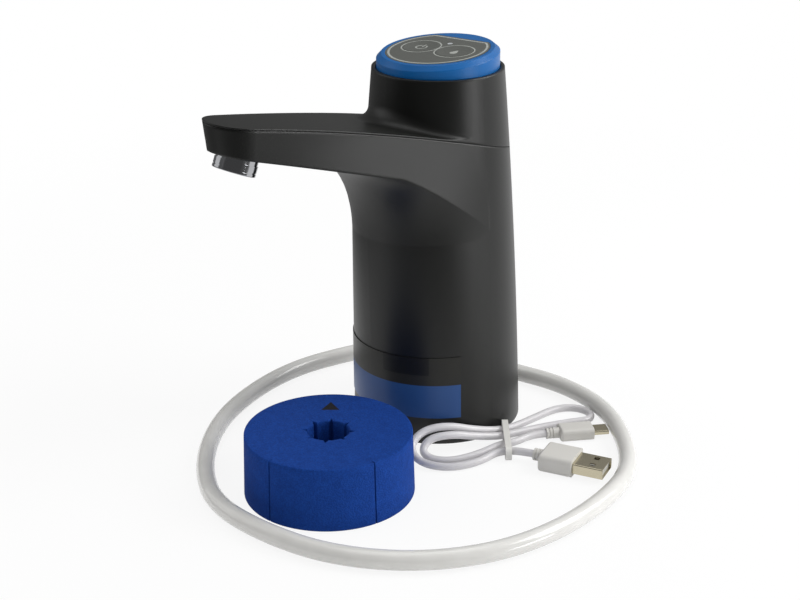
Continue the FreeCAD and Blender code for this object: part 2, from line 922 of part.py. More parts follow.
def base_plate():
    """Closes the recess from below, carries the pump and battery and ends in the barbed spigot."""
    plate = cylinder(recess_radius - plate_gap, plate_thickness, 0, 0, recess_depth)
    cup = cylinder(battery_radius + cradle_gap + cradle_wall, cradle_height, battery_x, 0, floor_top())
    cup = cup.cut(cylinder(battery_radius + cradle_gap, cradle_height, battery_x, 0, floor_top()))
    foot = recess_depth - spigot_length
    spigot = cylinder(spigot_radius, spigot_length, 0, 0, foot)
    shape = plate.fuse(cup).fuse(spigot)
    shape = shape.cut(cylinder(spigot_bore, spigot_length + plate_thickness, 0, 0, foot))
    spots = base_boss_spots()
    shape = shape.cut(holes(screw_radius + clear_hole, spots, recess_depth, floor_top()))
    shape = shape.cut(holes(screw_head_radius + clear_hole, spots, recess_depth, recess_depth + screw_head))
    return shape.removeSplitter()


def base_screws():
    start = recess_depth + screw_head
    length = base_boss_top - blind_end - 1 - start
    return [screw(s.x, s.y, start, length) for s in base_boss_spots()]


def pump_body():
    """Block with two gear pockets, the inlet over the spigot and the outlet turret."""
    bottom = floor_top()
    height = pocket_top() - bottom
    shape = box(pump_x - pump_half_x, pump_x + pump_half_x, -pump_half_y, pump_half_y, bottom, pocket_top())
    corners = [e for e in shape.Edges if e.BoundBox.ZLength > height - 0.01]
    shape = shape.makeFillet(3.0, corners)
    turret = cylinder(turret_radius, pump_top() - bottom, turret_x, 0, bottom)
    web = box(turret_x, pump_x, -turret_radius, turret_radius, bottom, pocket_top())
    shape = shape.fuse(turret).fuse(web)
    tip = gear_module * (gear_teeth / 2 + 1) + pocket_gap
    for side in (-1, 1):
        spot = gear_centre(side)
        shape = shape.cut(cylinder(tip, height, spot.x, spot.y, pocket_bottom()))
    half = pump_channel_radius
    shape = shape.cut(cylinder(half, pocket_bottom() + 4 - bottom, 0, 0, bottom))
    shape = shape.cut(box(pump_x + 3, 0, -half, half, pocket_bottom(), pocket_bottom() + 4))
    shape = shape.cut(box(turret_x, pump_x - 3, -half, half, pocket_bottom(), pocket_bottom() + 4))
    shape = shape.cut(cylinder(half, pump_top() - pocket_bottom(), turret_x, 0, pocket_bottom()))
    shape = shape.cut(cylinder(pipe_radius, pipe_socket, turret_x, 0, pump_top() - pipe_socket))
    pin = gear_centre(-1)
    shape = shape.cut(cylinder(shaft_radius, pin_bite, pin.x, pin.y, pocket_bottom() - pin_bite))
    shape = shape.cut(holes(board_screw_radius, pump_screw_spots(), bottom + 1, pocket_top()))
    return shape.removeSplitter()


def pump_screw_spots():
    return [
        vec(pump_x - pump_half_x + 2.2, -pump_half_y + 2.2, 0),
        vec(pump_x + pump_half_x - 2.2, -pump_half_y + 2.2, 0),
    ]


def pump_cover():
    """Lid of the pump, with the motor's seal in the middle of its drive end."""
    left = pump_x - pump_half_x
    shape = box(left, pump_x + pump_half_x, -pump_half_y, pump_half_y, pocket_top(), pump_top())
    shape = shape.makeFillet(3.0, [e for e in shape.Edges if e.BoundBox.ZLength > cover_thickness - 0.01])
    drive = gear_centre(1)
    idle = gear_centre(-1)
    shape = shape.cut(cylinder(shaft_radius + 0.3, cover_thickness, drive.x, drive.y, pocket_top()))
    shape = shape.cut(cylinder(seal_radius, seal_height, drive.x, drive.y, pump_top() - seal_height))
    shape = shape.cut(cylinder(shaft_radius, pin_bite, idle.x, idle.y, pocket_top()))
    return shape.cut(holes(board_screw_radius, pump_screw_spots(), pocket_top(), pump_top()))


def shaft_seal():
    drive = gear_centre(1)
    bottom = pump_top() - seal_height
    ring = cylinder(seal_radius, seal_height, drive.x, drive.y, bottom)
    return ring.cut(cylinder(shaft_radius + shaft_fit, seal_height, drive.x, drive.y, bottom))


def pump_screws():
    """Two small screws that hold the lid, heads up."""
    made = []
    for spot in pump_screw_spots():
        head = cylinder(board_screw_head, board_screw_head_height, spot.x, spot.y, pump_top())
        foot = floor_top() + 1.5
        shank = cylinder(board_screw_radius, pump_top() - foot, spot.x, spot.y, foot)
        made.append(head.fuse(shank))
    return made


def gear(side, first_tooth):
    """Spur gear with straight-flanked teeth, thinned a little so that the pair runs free."""
    pitch = gear_module * gear_teeth / 2
    tip = pitch + gear_module - 0.1
    root = pitch - 1.25 * gear_module
    spot = gear_centre(side)
    bottom = pocket_bottom() + gear_side_gap
    disc = cylinder(root, gear_height, spot.x, spot.y, bottom)
    for step in range(gear_teeth):
        angle = first_tooth + 360.0 * step / gear_teeth
        tooth = Part.makePolygon([
            vec(root - 0.4, -1.05, 0),
            vec(pitch, -0.66, 0),
            vec(tip, -0.28, 0),
            vec(tip, 0.28, 0),
            vec(pitch, 0.66, 0),
            vec(root - 0.4, 1.05, 0),
            vec(root - 0.4, -1.05, 0),
        ])
        solid = Part.Face(tooth).extrude(vec(0, 0, gear_height))
        solid.rotate(vec(0, 0, 0), Z, angle)
        solid.translate(vec(spot.x, spot.y, bottom))
        disc = disc.fuse(solid)
    return disc.removeSplitter()


def drive_gear():
    spot = gear_centre(1)
    return gear(1, -90.0).cut(cylinder(shaft_radius, 2 * gear_height, spot.x, spot.y, pocket_bottom()))


def driven_gear():
    spot = gear_centre(-1)
    half_pitch = 180.0 / gear_teeth
    bore = cylinder(shaft_radius + shaft_fit, 2 * gear_height, spot.x, spot.y, pocket_bottom())
    return gear(-1, 90.0 + half_pitch).cut(bore)


def motor_shaft():
    spot = gear_centre(1)
    start = pocket_bottom() + gear_side_gap
    return cylinder(shaft_radius, pump_top() + 5 - start, spot.x, spot.y, start)


def idler_pin():
    spot = gear_centre(-1)
    start = pocket_bottom() - pin_bite
    return cylinder(shaft_radius, pocket_top() + pin_bite - start, spot.x, spot.y, start)


def motor_can():
    spot = gear_centre(1)
    can = cylinder(motor_radius, motor_length, spot.x, spot.y, pump_top())
    can = can.makeFillet(1.0, [e for e in can.Edges if len(e.Vertexes) == 1])
    collar = cylinder(4.0, 1.5, spot.x, spot.y, pump_top() + motor_length)
    can = can.fuse(collar)
    return can.cut(cylinder(shaft_radius + shaft_fit, 5.5, spot.x, spot.y, pump_top()))


def battery_cell():
    cell = cylinder(battery_radius, battery_length, battery_x, 0, floor_top())
    cell = cell.makeFillet(0.8, [e for e in cell.Edges if len(e.Vertexes) == 1])
    button = cylinder(cell_button_radius, cell_button_height, battery_x, 0, floor_top() + battery_length)
    return cell.fuse(button)


# Charge board at the back

def charge_wall_y():
    """Back of the board: the socket on it ends at the inside of the body's wall."""
    return body_radius(charge_height) - wall - charge_board_inset + board_thickness


def charge_board_y():
    return charge_wall_y() - board_thickness


def charge_post(x):
    length = body_radius(board_post_z) - charge_wall_y()
    return Part.makeCylinder(board_post_radius, length, vec(x, charge_wall_y(), board_post_z), vec(0, 1, 0))


def charge_screw_holes():
    bores = []
    depth = board_screw_bite + 0.5
    for x in (-board_post_x, board_post_x):
        start = vec(x, charge_wall_y(), board_post_z)
        bores.append(Part.makeCylinder(board_screw_radius, depth, start, vec(0, 1, 0)))
    return fused(bores)


def charge_board():
    shape = box(-charge_board_half, charge_board_half, charge_board_y(), charge_wall_y(),
                charge_board_bottom, charge_board_top)
    for x in (-board_post_x, board_post_x):
        corner = vec(x, charge_board_y(), board_post_z)
        shape = shape.cut(Part.makeCylinder(board_screw_radius, board_thickness, corner, vec(0, 1, 0)))
    return shape


def board_screws():
    made = []
    for x in (-board_post_x, board_post_x):
        start = vec(x, charge_board_y(), board_post_z)
        head = Part.makeCylinder(board_screw_head, board_screw_head_height, start, vec(0, -1, 0))
        shank = Part.makeCylinder(board_screw_radius, board_thickness + board_screw_bite, start, vec(0, 1, 0))
        made.append(head.fuse(shank))
    return made


def rounded_bar(width, height, length, y, z, corner):
    """Bar along Y with rounded long edges, centred on x = 0."""
    bar = box(-width / 2, width / 2, y, y + length, z - height / 2, z + height / 2)
    return bar.makeFillet(corner, [e for e in bar.Edges if e.BoundBox.YLength > length - 0.01])


def charge_opening():
    width = charge_port_width + 2 * charge_hole_gap
    height = charge_port_height + 2 * charge_hole_gap
    start = body_radius(charge_height) - wall - 3
    return rounded_bar(width, height, wall + 6, start, charge_height, charge_opening_corner)


def charge_port():
    """Small socket: a thin steel shell with a tongue."""
    start = charge_wall_y()
    shell = rounded_bar(charge_port_width, charge_port_height, charge_port_length, start, charge_height, 0.9)
    hollow = rounded_bar(charge_port_width - 0.8, charge_port_height - 0.8, charge_port_length, start + 1.0,
                         charge_height, 0.5)
    tongue = box(-2.0, 2.0, start + 0.5, start + charge_port_length - 1.5,
                 charge_height - 0.3, charge_height + 0.3)
    return shell.cut(hollow).fuse(tongue)


# Bung

def bung():
    """Soft plug, slightly narrower at the top, with a hole whose wall is slit all round."""
    shape = turned([(0, 0), (bung_base_radius, 0), (bung_top_radius, bung_height), (0, bung_height)])
    rims = [e for e in shape.Edges if len(e.Vertexes) == 1]
    shape = shape.makeFillet(bung_edge_round, rims)
    shape = shape.cut(cylinder(bung_hole_radius, bung_height, 0, 0, 0))
    for step in range(bung_slits):
        angle = 360.0 * step / bung_slits
        slit = Part.makePolygon([
            vec(bung_hole_radius - 0.6, -bung_slit_width / 2, 0),
            vec(bung_hole_radius + bung_slit_depth, 0, 0),
            vec(bung_hole_radius - 0.6, bung_slit_width / 2, 0),
            vec(bung_hole_radius - 0.6, -bung_slit_width / 2, 0),
        ])
        notch = Part.Face(slit).extrude(vec(0, 0, bung_height))
        notch.rotate(vec(0, 0, 0), Z, angle)
        shape = shape.cut(notch)
    for angle in bung_cut_angles:
        half = bung_cut_width / 2
        cut = box(bung_top_radius - bung_cut_depth, bung_base_radius + 1, -half, half, -1, bung_height + 1)
        cut.rotate(vec(0, 0, 0), Z, angle)
        shape = shape.cut(cut)
    shape.translate(vec(bung_x, bung_y, 0))
    return shape


# Hose and lead

def hose_route():
    """Points of the hose's middle line on the table, from its left end round the front to its right end."""
    level = hose_radius + hose_lift
    plan = [
        (-60, 19), (-66.5, -4), (-67.5, -36), (-54.5, -72), (-36, -97), (-12, -117), (14, -129),
        (44, -127.5), (73, -118.5), (97, -99), (112, -72.5), (116.2, -43), (112.3, -13), (103.6, 12),
        (84, 32.6), (57, 49.5), (28, 53.5), (2, 47), (-14, 41),
    ]
    return [vec(x, y, level) for x, y in plan]


def suction_hose():
    return tube(hose_route(), hose_radius, hose_bore)


def lead_route():
    """Points of the lead's middle line in the hank's frame, from the small plug to the large one."""
    small_back = small_body_length + small_relief_length
    wide_back = wide_body_length + wide_relief_length
    start = behind_plug(small_x, small_y, small_level, small_turn, small_back)
    leave = behind_plug(small_x, small_y, small_level, small_turn, small_back + plug_run)
    arrive = behind_plug(wide_x, wide_y, wide_level, wide_turn, wide_back + plug_run)
    end = behind_plug(wide_x, wide_y, wide_level, wide_turn, wide_back)
    plan = [
        (1.0, -2.0, 2.8), (-5.0, -3.4, 2.7),
        (-14, -10.5, 1.9), (-26, -16.8, 1.7), (-35, -15.5, 2.2), (-38.3, -11.8, 4.4),
        (-35, -8.2, 8.0), (-26, -6.2, 9.0), (-14, -1.2, 5.4), (-4, 3.9, 2.9),
        (4, 8.2, 2.6), (14, 14.6, 1.7), (28, 19.6, 1.7), (36, 21.4, 1.7),
        (37.2, 28.5, 1.7), (31, 34, 1.7), (22, 33, 1.7), (11, 23, 1.7), (2, 13.5, 2.4),
        (-5, 8.7, 3.2), (-15, 2.6, 6.6), (-28, -2.2, 11.2), (-38.5, -5, 9.8),
        (-43.4, -11.5, 5.6), (-39.5, -18.8, 2.4), (-28, -22.7, 1.7), (-15, -18, 1.8),
        (-6, -9.2, 2.6),
    ]
    return [start, leave] + [vec(x, y, z) for x, y, z in plan] + [arrive, end]


def behind_plug(x, y, level, turn, distance):
    """Point on a plug's middle line, a distance behind the face its shell stands on."""
    return vec(x, y, level) - polar(distance, turn)


def on_table(shape):
    """Places a piece of the lead, drawn in the hank's frame, beside the tap."""
    return moved(shape, FreeCAD.Placement(vec(lead_x, lead_y, 0), FreeCAD.Rotation(Z, lead_turn)))


def least_gap(points, radius):
    """Smallest free space between two stretches of a routed tube that aren't neighbours."""
    wire, radii = routed(points)
    count = 420
    line = wire.discretize(count)
    apart = int(count * 7 * radius / wire.Length)
    best = 1e9
    for i in range(count):
        for j in range(i + apart, count):
            best = min(best, line[i].distanceToPoint(line[j]))
    return best - 2 * radius


def lead_cable():
    print("lead's least gap to itself", round(least_gap(lead_route(), cable_radius), 2))
    return on_table(tube(lead_route(), cable_radius))


def bar(x0, length, width, height, middle_y, middle_z, corner):
    """Bar along X with rounded long edges."""
    shape = box(x0, x0 + length, middle_y - width / 2, middle_y + width / 2,
                middle_z - height / 2, middle_z + height / 2)
    return shape.makeFillet(corner, [e for e in shape.Edges if e.BoundBox.XLength > length - 0.01])


def lead_tie():
    middle = tie_bottom + tie_height / 2
    start = tie_x - tie_length / 2
    outer = bar(start, tie_length, tie_width + 2 * tie_thickness, tie_height + 2 * tie_thickness,
                tie_middle, middle, 2.5)
    inner = bar(start - 1, tie_length + 2, tie_width, tie_height, tie_middle, middle, 1.7)
    return on_table(outer.cut(inner))


def on_plug(shape, x, y, level, turn):
    return on_table(moved(shape, FreeCAD.Placement(vec(x, y, level), FreeCAD.Rotation(Z, turn))))


def plug_body(length, width, height, relief_length, relief_radius, corner):
    """Moulded grip with its ribbed relief, along -X from the origin, the lead ending at the relief."""
    shape = bar(-length, length, width, height, 0, 0, corner)
    back = [e for e in shape.Edges if e.BoundBox.XMax < -length + 0.01]
    shape = shape.makeFillet(1.2, back)
    relief = Part.makeCylinder(relief_radius, relief_length, vec(-length - relief_length, 0, 0), vec(1, 0, 0))
    for step in range(2):
        start = -length - relief_length + 1.0 + 1.4 * step
        groove = Part.makeCylinder(relief_radius + 1, 0.5, vec(start, 0, 0), vec(1, 0, 0))
        groove = groove.cut(Part.makeCylinder(relief_radius - 0.35, 0.5, vec(start, 0, 0), vec(1, 0, 0)))
        relief = relief.cut(groove)
    return shape.fuse(relief).removeSplitter()


def wide_plug_body():
    shape = plug_body(wide_body_length, wide_body_width, wide_body_height, wide_relief_length,
                      wide_relief_radius, wide_body_corner)
    return on_plug(shape, wide_x, wide_y, wide_level, wide_turn)


def wide_plug_shell():
    outer = bar(0, wide_shell_length, wide_shell_width, wide_shell_height, 0, 0, shell_corner)
    inner = bar(wide_shell_wall, wide_shell_length, wide_shell_width - 2 * wide_shell_wall,
                wide_shell_height - 2 * wide_shell_wall, 0, 0, shell_inner_corner)
    shape = outer.cut(inner)
    for side in (-1, 1):
        near = side * wide_window_spread - wide_window / 2
        window = box(0, wide_window, near, near + wide_window, 0, wide_shell_height)
        window.translate(vec(wide_window_from, 0, 0))
        shape = shape.cut(window)
    return on_plug(shape, wide_x, wide_y, wide_level, wide_turn)


def wide_plug_tongue():
    wide = wide_shell_width - 2 * wide_shell_wall
    high = wide_shell_height / 2 - wide_shell_wall
    half = wide / 2 - 0.4
    shape = box(wide_shell_wall, wide_shell_length - tongue_short, -half, half, -high, -high + 1.9)
    return on_plug(shape, wide_x, wide_y, wide_level, wide_turn)


def small_plug_body():
    shape = plug_body(small_body_length, small_body_width, small_body_height, small_relief_length,
                      small_relief_radius, small_body_corner)
    return on_plug(shape, small_x, small_y, small_level, small_turn)


def small_plug_shell():
    outer = bar(0, small_shell_length, small_shell_width, small_shell_height, 0, 0, shell_corner)
    inner = bar(1.0, small_shell_length, small_shell_width - 2 * small_shell_wall,
                small_shell_height - 2 * small_shell_wall, 0, 0, shell_inner_corner)
    tongue = box(0.5, small_shell_length - tongue_short, -2.0, 2.0, -0.25, 0.25)
    return on_plug(outer.cut(inner).fuse(tongue), small_x, small_y, small_level, small_turn)


outside = housing_outside()
inside = housing_inside()
save("lower_housing", lower_housing(outside, inside))
save("upper_housing", upper_housing(outside, inside))
save("housing_screws", Part.makeCompound(housing_screws()))
save("label", label())
save("crown_cap", crown_cap())
save("control_film", control_film())
save("power_button", key(-key_spacing / 2))
save("pour_button", key(key_spacing / 2))
save("button_switches", Part.makeCompound(button_switches()))
save("light_pipe", light_pipe())
save("status_light", status_light())
save("control_board", control_board())
save("panel_screws", Part.makeCompound(panel_screws()))
save("outlet_nozzle", outlet_nozzle())
save("flow_straightener", flow_straightener())
save("spout_elbow", spout_elbow())
save("delivery_pipe", delivery_pipe())
save("base_plate", base_plate())
save("base_screws", Part.makeCompound(base_screws()))
save("pump_body", pump_body())
save("pump_cover", pump_cover())
save("pump_screws", Part.makeCompound(pump_screws()))
save("shaft_seal", shaft_seal())
save("drive_gear", drive_gear())
save("driven_gear", driven_gear())
save("motor_shaft", motor_shaft())
save("idler_pin", idler_pin())
save("motor_can", motor_can())
save("battery_cell", battery_cell())
save("charge_board", charge_board())
save("charge_port", charge_port())
save("board_screws", Part.makeCompound(board_screws()))
save("bung", bung())
save("suction_hose", suction_hose())
save("lead_cable", lead_cable())
save("lead_tie", lead_tie())
save("wide_plug_body", wide_plug_body())
save("wide_plug_shell", wide_plug_shell())
save("wide_plug_tongue", wide_plug_tongue())
save("small_plug_body", small_plug_body())
save("small_plug_shell", small_plug_shell())
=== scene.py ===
# %% [markdown]
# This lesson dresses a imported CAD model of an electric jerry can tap, as it stands on a white table with its
# foam bung, its suction hose and its charging lead. The CAD solids hold the true sizes and are never moved.
# Blender adds the surfaces: plastic grain, chrome, cut foam, a milky tube and a tied hank of white lead.
# Blender works in metres, so a size that is given in millimetres is written as its number times MM.

# %% Load the frame and keep its box
import math

import bpy
import numpy as np
from mathutils import Matrix, Vector


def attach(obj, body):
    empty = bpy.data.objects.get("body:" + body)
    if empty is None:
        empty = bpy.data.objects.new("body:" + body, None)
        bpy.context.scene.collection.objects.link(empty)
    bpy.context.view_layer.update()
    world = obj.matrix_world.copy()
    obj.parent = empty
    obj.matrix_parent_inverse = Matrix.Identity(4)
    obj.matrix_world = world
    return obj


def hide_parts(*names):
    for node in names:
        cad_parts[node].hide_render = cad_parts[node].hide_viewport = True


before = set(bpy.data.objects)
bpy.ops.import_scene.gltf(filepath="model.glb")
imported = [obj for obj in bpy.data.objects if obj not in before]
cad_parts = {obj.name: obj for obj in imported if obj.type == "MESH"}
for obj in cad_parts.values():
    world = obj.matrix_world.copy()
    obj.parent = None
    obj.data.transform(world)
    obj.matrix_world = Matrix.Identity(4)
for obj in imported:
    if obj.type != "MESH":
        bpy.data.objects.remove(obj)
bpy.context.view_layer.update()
MM = 0.001

# %% [markdown]
# The camera is the photographer's: a short telephoto, a little to the right of the spout and looking down on
# it. Its three axes are written out, because the picture was solved for them and no target point was needed.

# %% Camera
camera_place = Vector((0.46241, -0.41610, 0.30212))
camera_forward = Vector((-0.7053, 0.6024, -0.3738)).normalized()
camera_right = Vector((0.6508, 0.7592, -0.0044)).normalized()
camera_up = camera_right.cross(camera_forward).normalized()
camera_right = camera_forward.cross(camera_up).normalized()

camera = bpy.data.objects.new("camera", bpy.data.cameras.new("camera"))
bpy.context.scene.collection.objects.link(camera)
axes = Matrix((camera_right, camera_up, -camera_forward)).transposed()
camera.matrix_world = Matrix.Translation(camera_place) @ axes.to_4x4()
camera.data.lens = 69.06
camera.data.sensor_width = 36.0
camera.data.clip_start = 0.01
bpy.context.scene.camera = camera
print("camera at", [round(x, 3) for x in camera_place])

# %% [markdown]
# A hose or lead is one smooth line. Each route below is a handful of points, and a NURBS spline of order 3
# glides past them. The order is set after the points, because a new spline starts too short to take it.
# A curve's thickness is its bevel depth times its points' own radius. The box that Blender gives a curve
# grows by that radius too, so the real radius goes into the points and the bevel depth is one.

# %% Smooth lines from a few points
def nurbs_line(name, points, radius):
    """Curve object with one open NURBS spline on the points; they and their radius are in metres."""
    data = bpy.data.curves.new(name, "CURVE")
    data.dimensions = "3D"
    spline = data.splines.new("NURBS")
    spline.points.add(len(points) - 1)
    for control, point in zip(spline.points, points):
        control.co = (*point, 1.0)
        control.radius = radius
    spline.order_u = 3
    spline.use_endpoint_u = True
    data.resolution_u = 12
    made = bpy.data.objects.new(name, data)
    bpy.context.scene.collection.objects.link(made)
    print(name, "from", len(points), "points")
    return made


def line_points(line):
    """The evaluated middle line of a curve without a bevel, as an array of points."""
    mesh = bpy.data.meshes.new_from_object(line)
    points = np.array([vertex.co for vertex in mesh.vertices], float)
    bpy.data.meshes.remove(mesh)
    return points


def spaced(points, count):
    """The same line with its points at even distances, and its length."""
    steps = np.linalg.norm(np.diff(points, axis=0), axis=1)
    along = np.concatenate([[0.0], np.cumsum(steps)])
    wanted = np.linspace(0.0, along[-1], count)
    return np.stack([np.interp(wanted, along, points[:, k]) for k in range(3)], axis=1), along[-1]


# %% [markdown]
# Two pieces here are surfaces worked out with numpy: a table of points, rows by columns, where each point
# is joined to its neighbours by four-sided faces. A tube closes on itself both ways, as a ring's surface
# does, so it needs no end caps. Whole arrays go into the mesh at once, which is far quicker than a loop.

# %% Grids into meshes
def closed_grid(name, points):
    """Mesh from an array of points (rows, columns, 3), whose last row and column join the first ones."""
    rows, columns = points.shape[:2]
    here = np.arange(rows * columns).reshape(rows, columns)
    down = np.roll(here, -1, axis=0)
    corners = [here, np.roll(here, -1, axis=1), np.roll(down, -1, axis=1), down]
    quads = np.stack(corners, axis=-1).reshape(-1, 4)
    mesh = bpy.data.meshes.new(name)
    mesh.vertices.add(rows * columns)
    mesh.vertices.foreach_set("co", points.reshape(-1).astype(np.float32))
    mesh.loops.add(quads.size)
    mesh.loops.foreach_set("vertex_index", quads.reshape(-1).astype(np.int32))
    mesh.polygons.add(len(quads))
    mesh.polygons.foreach_set("loop_start", (np.arange(len(quads)) * 4).astype(np.int32))
    mesh.update(calc_edges=True)
    mesh.shade_smooth()
    made = bpy.data.objects.new(name, mesh)
    bpy.context.scene.collection.objects.link(made)
    print(name, "is a grid of", rows, "by", columns, "points")
    return made


def face_outwards(piece):
    """Turns a closed grid's faces outwards. Its volume is the sum of a . (b x c) / 6 over its triangles, and
    comes out below zero where the faces look inwards."""
    mesh = piece.data
    mesh.calc_loop_triangles()
    corners = np.array([[mesh.vertices[i].co for i in tri.vertices] for tri in mesh.loop_triangles])
    volume = np.einsum("ij,ij->i", corners[:, 0], np.cross(corners[:, 1], corners[:, 2])).sum() / 6
    if volume < 0:
        mesh.flip_normals()
    print(piece.name, round(abs(volume) / MM ** 3), "cubic mm")
    return piece


# %% [markdown]
# The hose lies flat in one wide loop and both its cut ends hide behind the tap. It is a real tube here, with
# a wall and a bore, so that an end shows its hole. The section is carried along the line on a steady frame
# that keeps one axis upright, which suits a line that stays level.

# %% Suction hose
hose_radius = 3.8 * MM
hose_bore = 2.9 * MM
hose_level = hose_radius + 0.05 * MM
hose_plan = [
    (-60, 19), (-66.5, -4), (-67.5, -36), (-54.5, -72), (-36, -97), (-12, -117), (14, -129), (44, -127.5),
    (73, -118.5), (97, -99), (112, -72.5), (116.2, -43), (112.3, -13), (103.6, 12), (84, 32.6), (57, 49.5),
    (28, 53.5), (2, 47), (-14, 41),
]
hose_line = nurbs_line("hose_line", [(x * MM, y * MM, hose_level) for x, y in hose_plan], hose_radius)
hose_path, hose_length = spaced(line_points(hose_line), count=420)
bpy.data.objects.remove(hose_line)


def tube_along(name, path, outer, bore, sides=40):
    """Tube with a wall: point(i, a) = path(i) + r (side(i) cos a + up sin a), where r is the outer radius on
    the way out and the bore's on the way back, so the grid closes on itself in both directions."""
    heading = np.gradient(path, axis=0)
    heading /= np.linalg.norm(heading, axis=1, keepdims=True)
    up = np.array([0.0, 0.0, 1.0])
    side = np.cross(heading, up)
    side /= np.linalg.norm(side, axis=1, keepdims=True)
    turn = np.linspace(0.0, 2 * np.pi, sides, endpoint=False)
    ring = side[:, None, :] * np.cos(turn)[None, :, None] + up * np.sin(turn)[None, :, None]
    outside = path[:, None, :] + outer * ring
    inside = path[::-1, None, :] + bore * ring[::-1]
    return face_outwards(closed_grid(name, np.concatenate([outside, inside])))


hose = tube_along("suction_hose_tube", hose_path, hose_radius, hose_bore)
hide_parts("suction_hose")
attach(hose, "tap")
print("hose", round(hose_length, 4), "m along its middle")

# %% [markdown]
# The lead is folded into a small hank and strapped. Its points are given in the hank's own frame, where the
# strands run along X, from the small plug round to the wide one, and then turned and set down beside the tap.

# %% Charging lead
hank_place = Vector((50.0 * MM, -2.0 * MM, 0.0))
hank_turn = math.radians(49.4)
cable_radius = 1.65 * MM


def on_table(x, y, z):
    """A point of the hank's frame, given in millimetres, in the part's frame in metres."""
    c, s = math.cos(hank_turn), math.sin(hank_turn)
    return (hank_place.x + (x * c - y * s) * MM, hank_place.y + (x * s + y * c) * MM, z * MM)


def behind(x, y, turn, distance):
    """A point on a plug's middle line, a distance behind the face that its shell stands on."""
    angle = math.radians(turn)
    return x - distance * math.cos(angle), y - distance * math.sin(angle)


# A plug is the place of that face in millimetres, the plug's turn in degrees, the level of its middle line,
# and how far its back end is behind the face.
small_plug = {"x": 35.2, "y": 9.38, "turn": 8.8, "level": 2.8, "back": 20.1}
wide_plug = {"x": 25.3, "y": -22.6, "turn": -25.4, "level": 4.0, "back": 18.5}
plug_run = 6.5


def plug_points(plug):
    """The two points of the lead next to a plug: at its back, and one run behind it."""
    near = behind(plug["x"], plug["y"], plug["turn"], plug["back"])
    away = behind(plug["x"], plug["y"], plug["turn"], plug["back"] + plug_run)
    return (*near, plug["level"]), (*away, plug["level"])


lead_middle = [
    (1.0, -2.0, 2.8), (-5.0, -3.4, 2.7),
    (-14, -10.5, 1.9), (-26, -16.8, 1.7), (-35, -15.5, 2.2), (-38.3, -11.8, 4.4),
    (-35, -8.2, 8.0), (-26, -6.2, 9.0), (-14, -1.2, 5.4), (-4, 3.9, 2.9),
    (4, 8.2, 2.6), (14, 14.6, 1.7), (28, 19.6, 1.7), (36, 21.4, 1.7),
    (37.2, 28.5, 1.7), (31, 34, 1.7), (22, 33, 1.7), (11, 23, 1.7), (2, 13.5, 2.4),
    (-5, 8.7, 3.2), (-15, 2.6, 6.6), (-28, -2.2, 11.2), (-38.5, -5, 9.8),
    (-43.4, -11.5, 5.6), (-39.5, -18.8, 2.4), (-28, -22.7, 1.7), (-15, -18, 1.8),
    (-6, -9.2, 2.6),
]
start, leave = plug_points(small_plug)
end, arrive = plug_points(wide_plug)
lead_route = [on_table(*point) for point in [start, leave, *lead_middle, arrive, end]]
lead = nurbs_line("charging_lead", lead_route, cable_radius)
lead_length = spaced(line_points(lead), count=400)[1]
lead.data.bevel_depth = 1.0
lead.data.bevel_resolution = 6
lead.data.use_fill_caps = True
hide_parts("lead_cable")
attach(lead, "tap")

# %% [markdown]
# Materials are sums of patterns. Writing those sums as Python expressions keeps them readable, so a small
# class wraps a socket: adding or multiplying two of them adds the Math node that does it. The forms whose
# names start with r serve sums that begin with a plain number, such as 1 - mask.

# %% A number that varies over a surface
class Amount:
    """One number that varies over a surface."""

    def __init__(self, paint, socket):
        self.paint = paint
        self.socket = socket

    def _with(self, operation, first, second=None):
        """A Math node on one or two values, as a new amount."""
        inputs = [first] if second is None else [first, second]
        return self.paint.node("ShaderNodeMath", {"operation": operation}, inputs)

    def __add__(self, other):
        return self._with("ADD", self, other)

    __radd__ = __add__

    def __mul__(self, other):
        return self._with("MULTIPLY", self, other)

    __rmul__ = __mul__

    def __sub__(self, other):
        return self._with("SUBTRACT", self, other)

    def __rsub__(self, other):
        return self._with("SUBTRACT", other, self)

    def __abs__(self):
        return self._with("ABSOLUTE", self)

    def __pow__(self, other):
        return self._with("POWER", self, other)

    def above(self, limit, soft):
        """0 below the limit and 1 above it, over a soft step."""
        return self.paint.node("ShaderNodeMapRange", {"interpolation_type": "SMOOTHSTEP"},
                               {"Value": self, "From Min": limit - soft / 2, "From Max": limit + soft / 2})

    def below(self, limit, soft):
        """1 below the limit and 0 above it, over a soft step."""
        return 1 - self.above(limit, soft)

    def least(self, other):
        return self._with("MINIMUM", self, other)

    def most(self, other):
        return self._with("MAXIMUM", self, other)


def length_of(a, b):
    """Distance from the middle: the square root of a squared plus b squared."""
    return (a * a + b * b) ** 0.5


# %% [markdown]
# A material starts as Blender's Principled shader. Numbers that stay the same all over a piece are set on the
# shader's own sockets. What changes over it is made of nodes, and one method makes every kind of them: it
# sets a node up, joins what goes in and hands back what comes out.

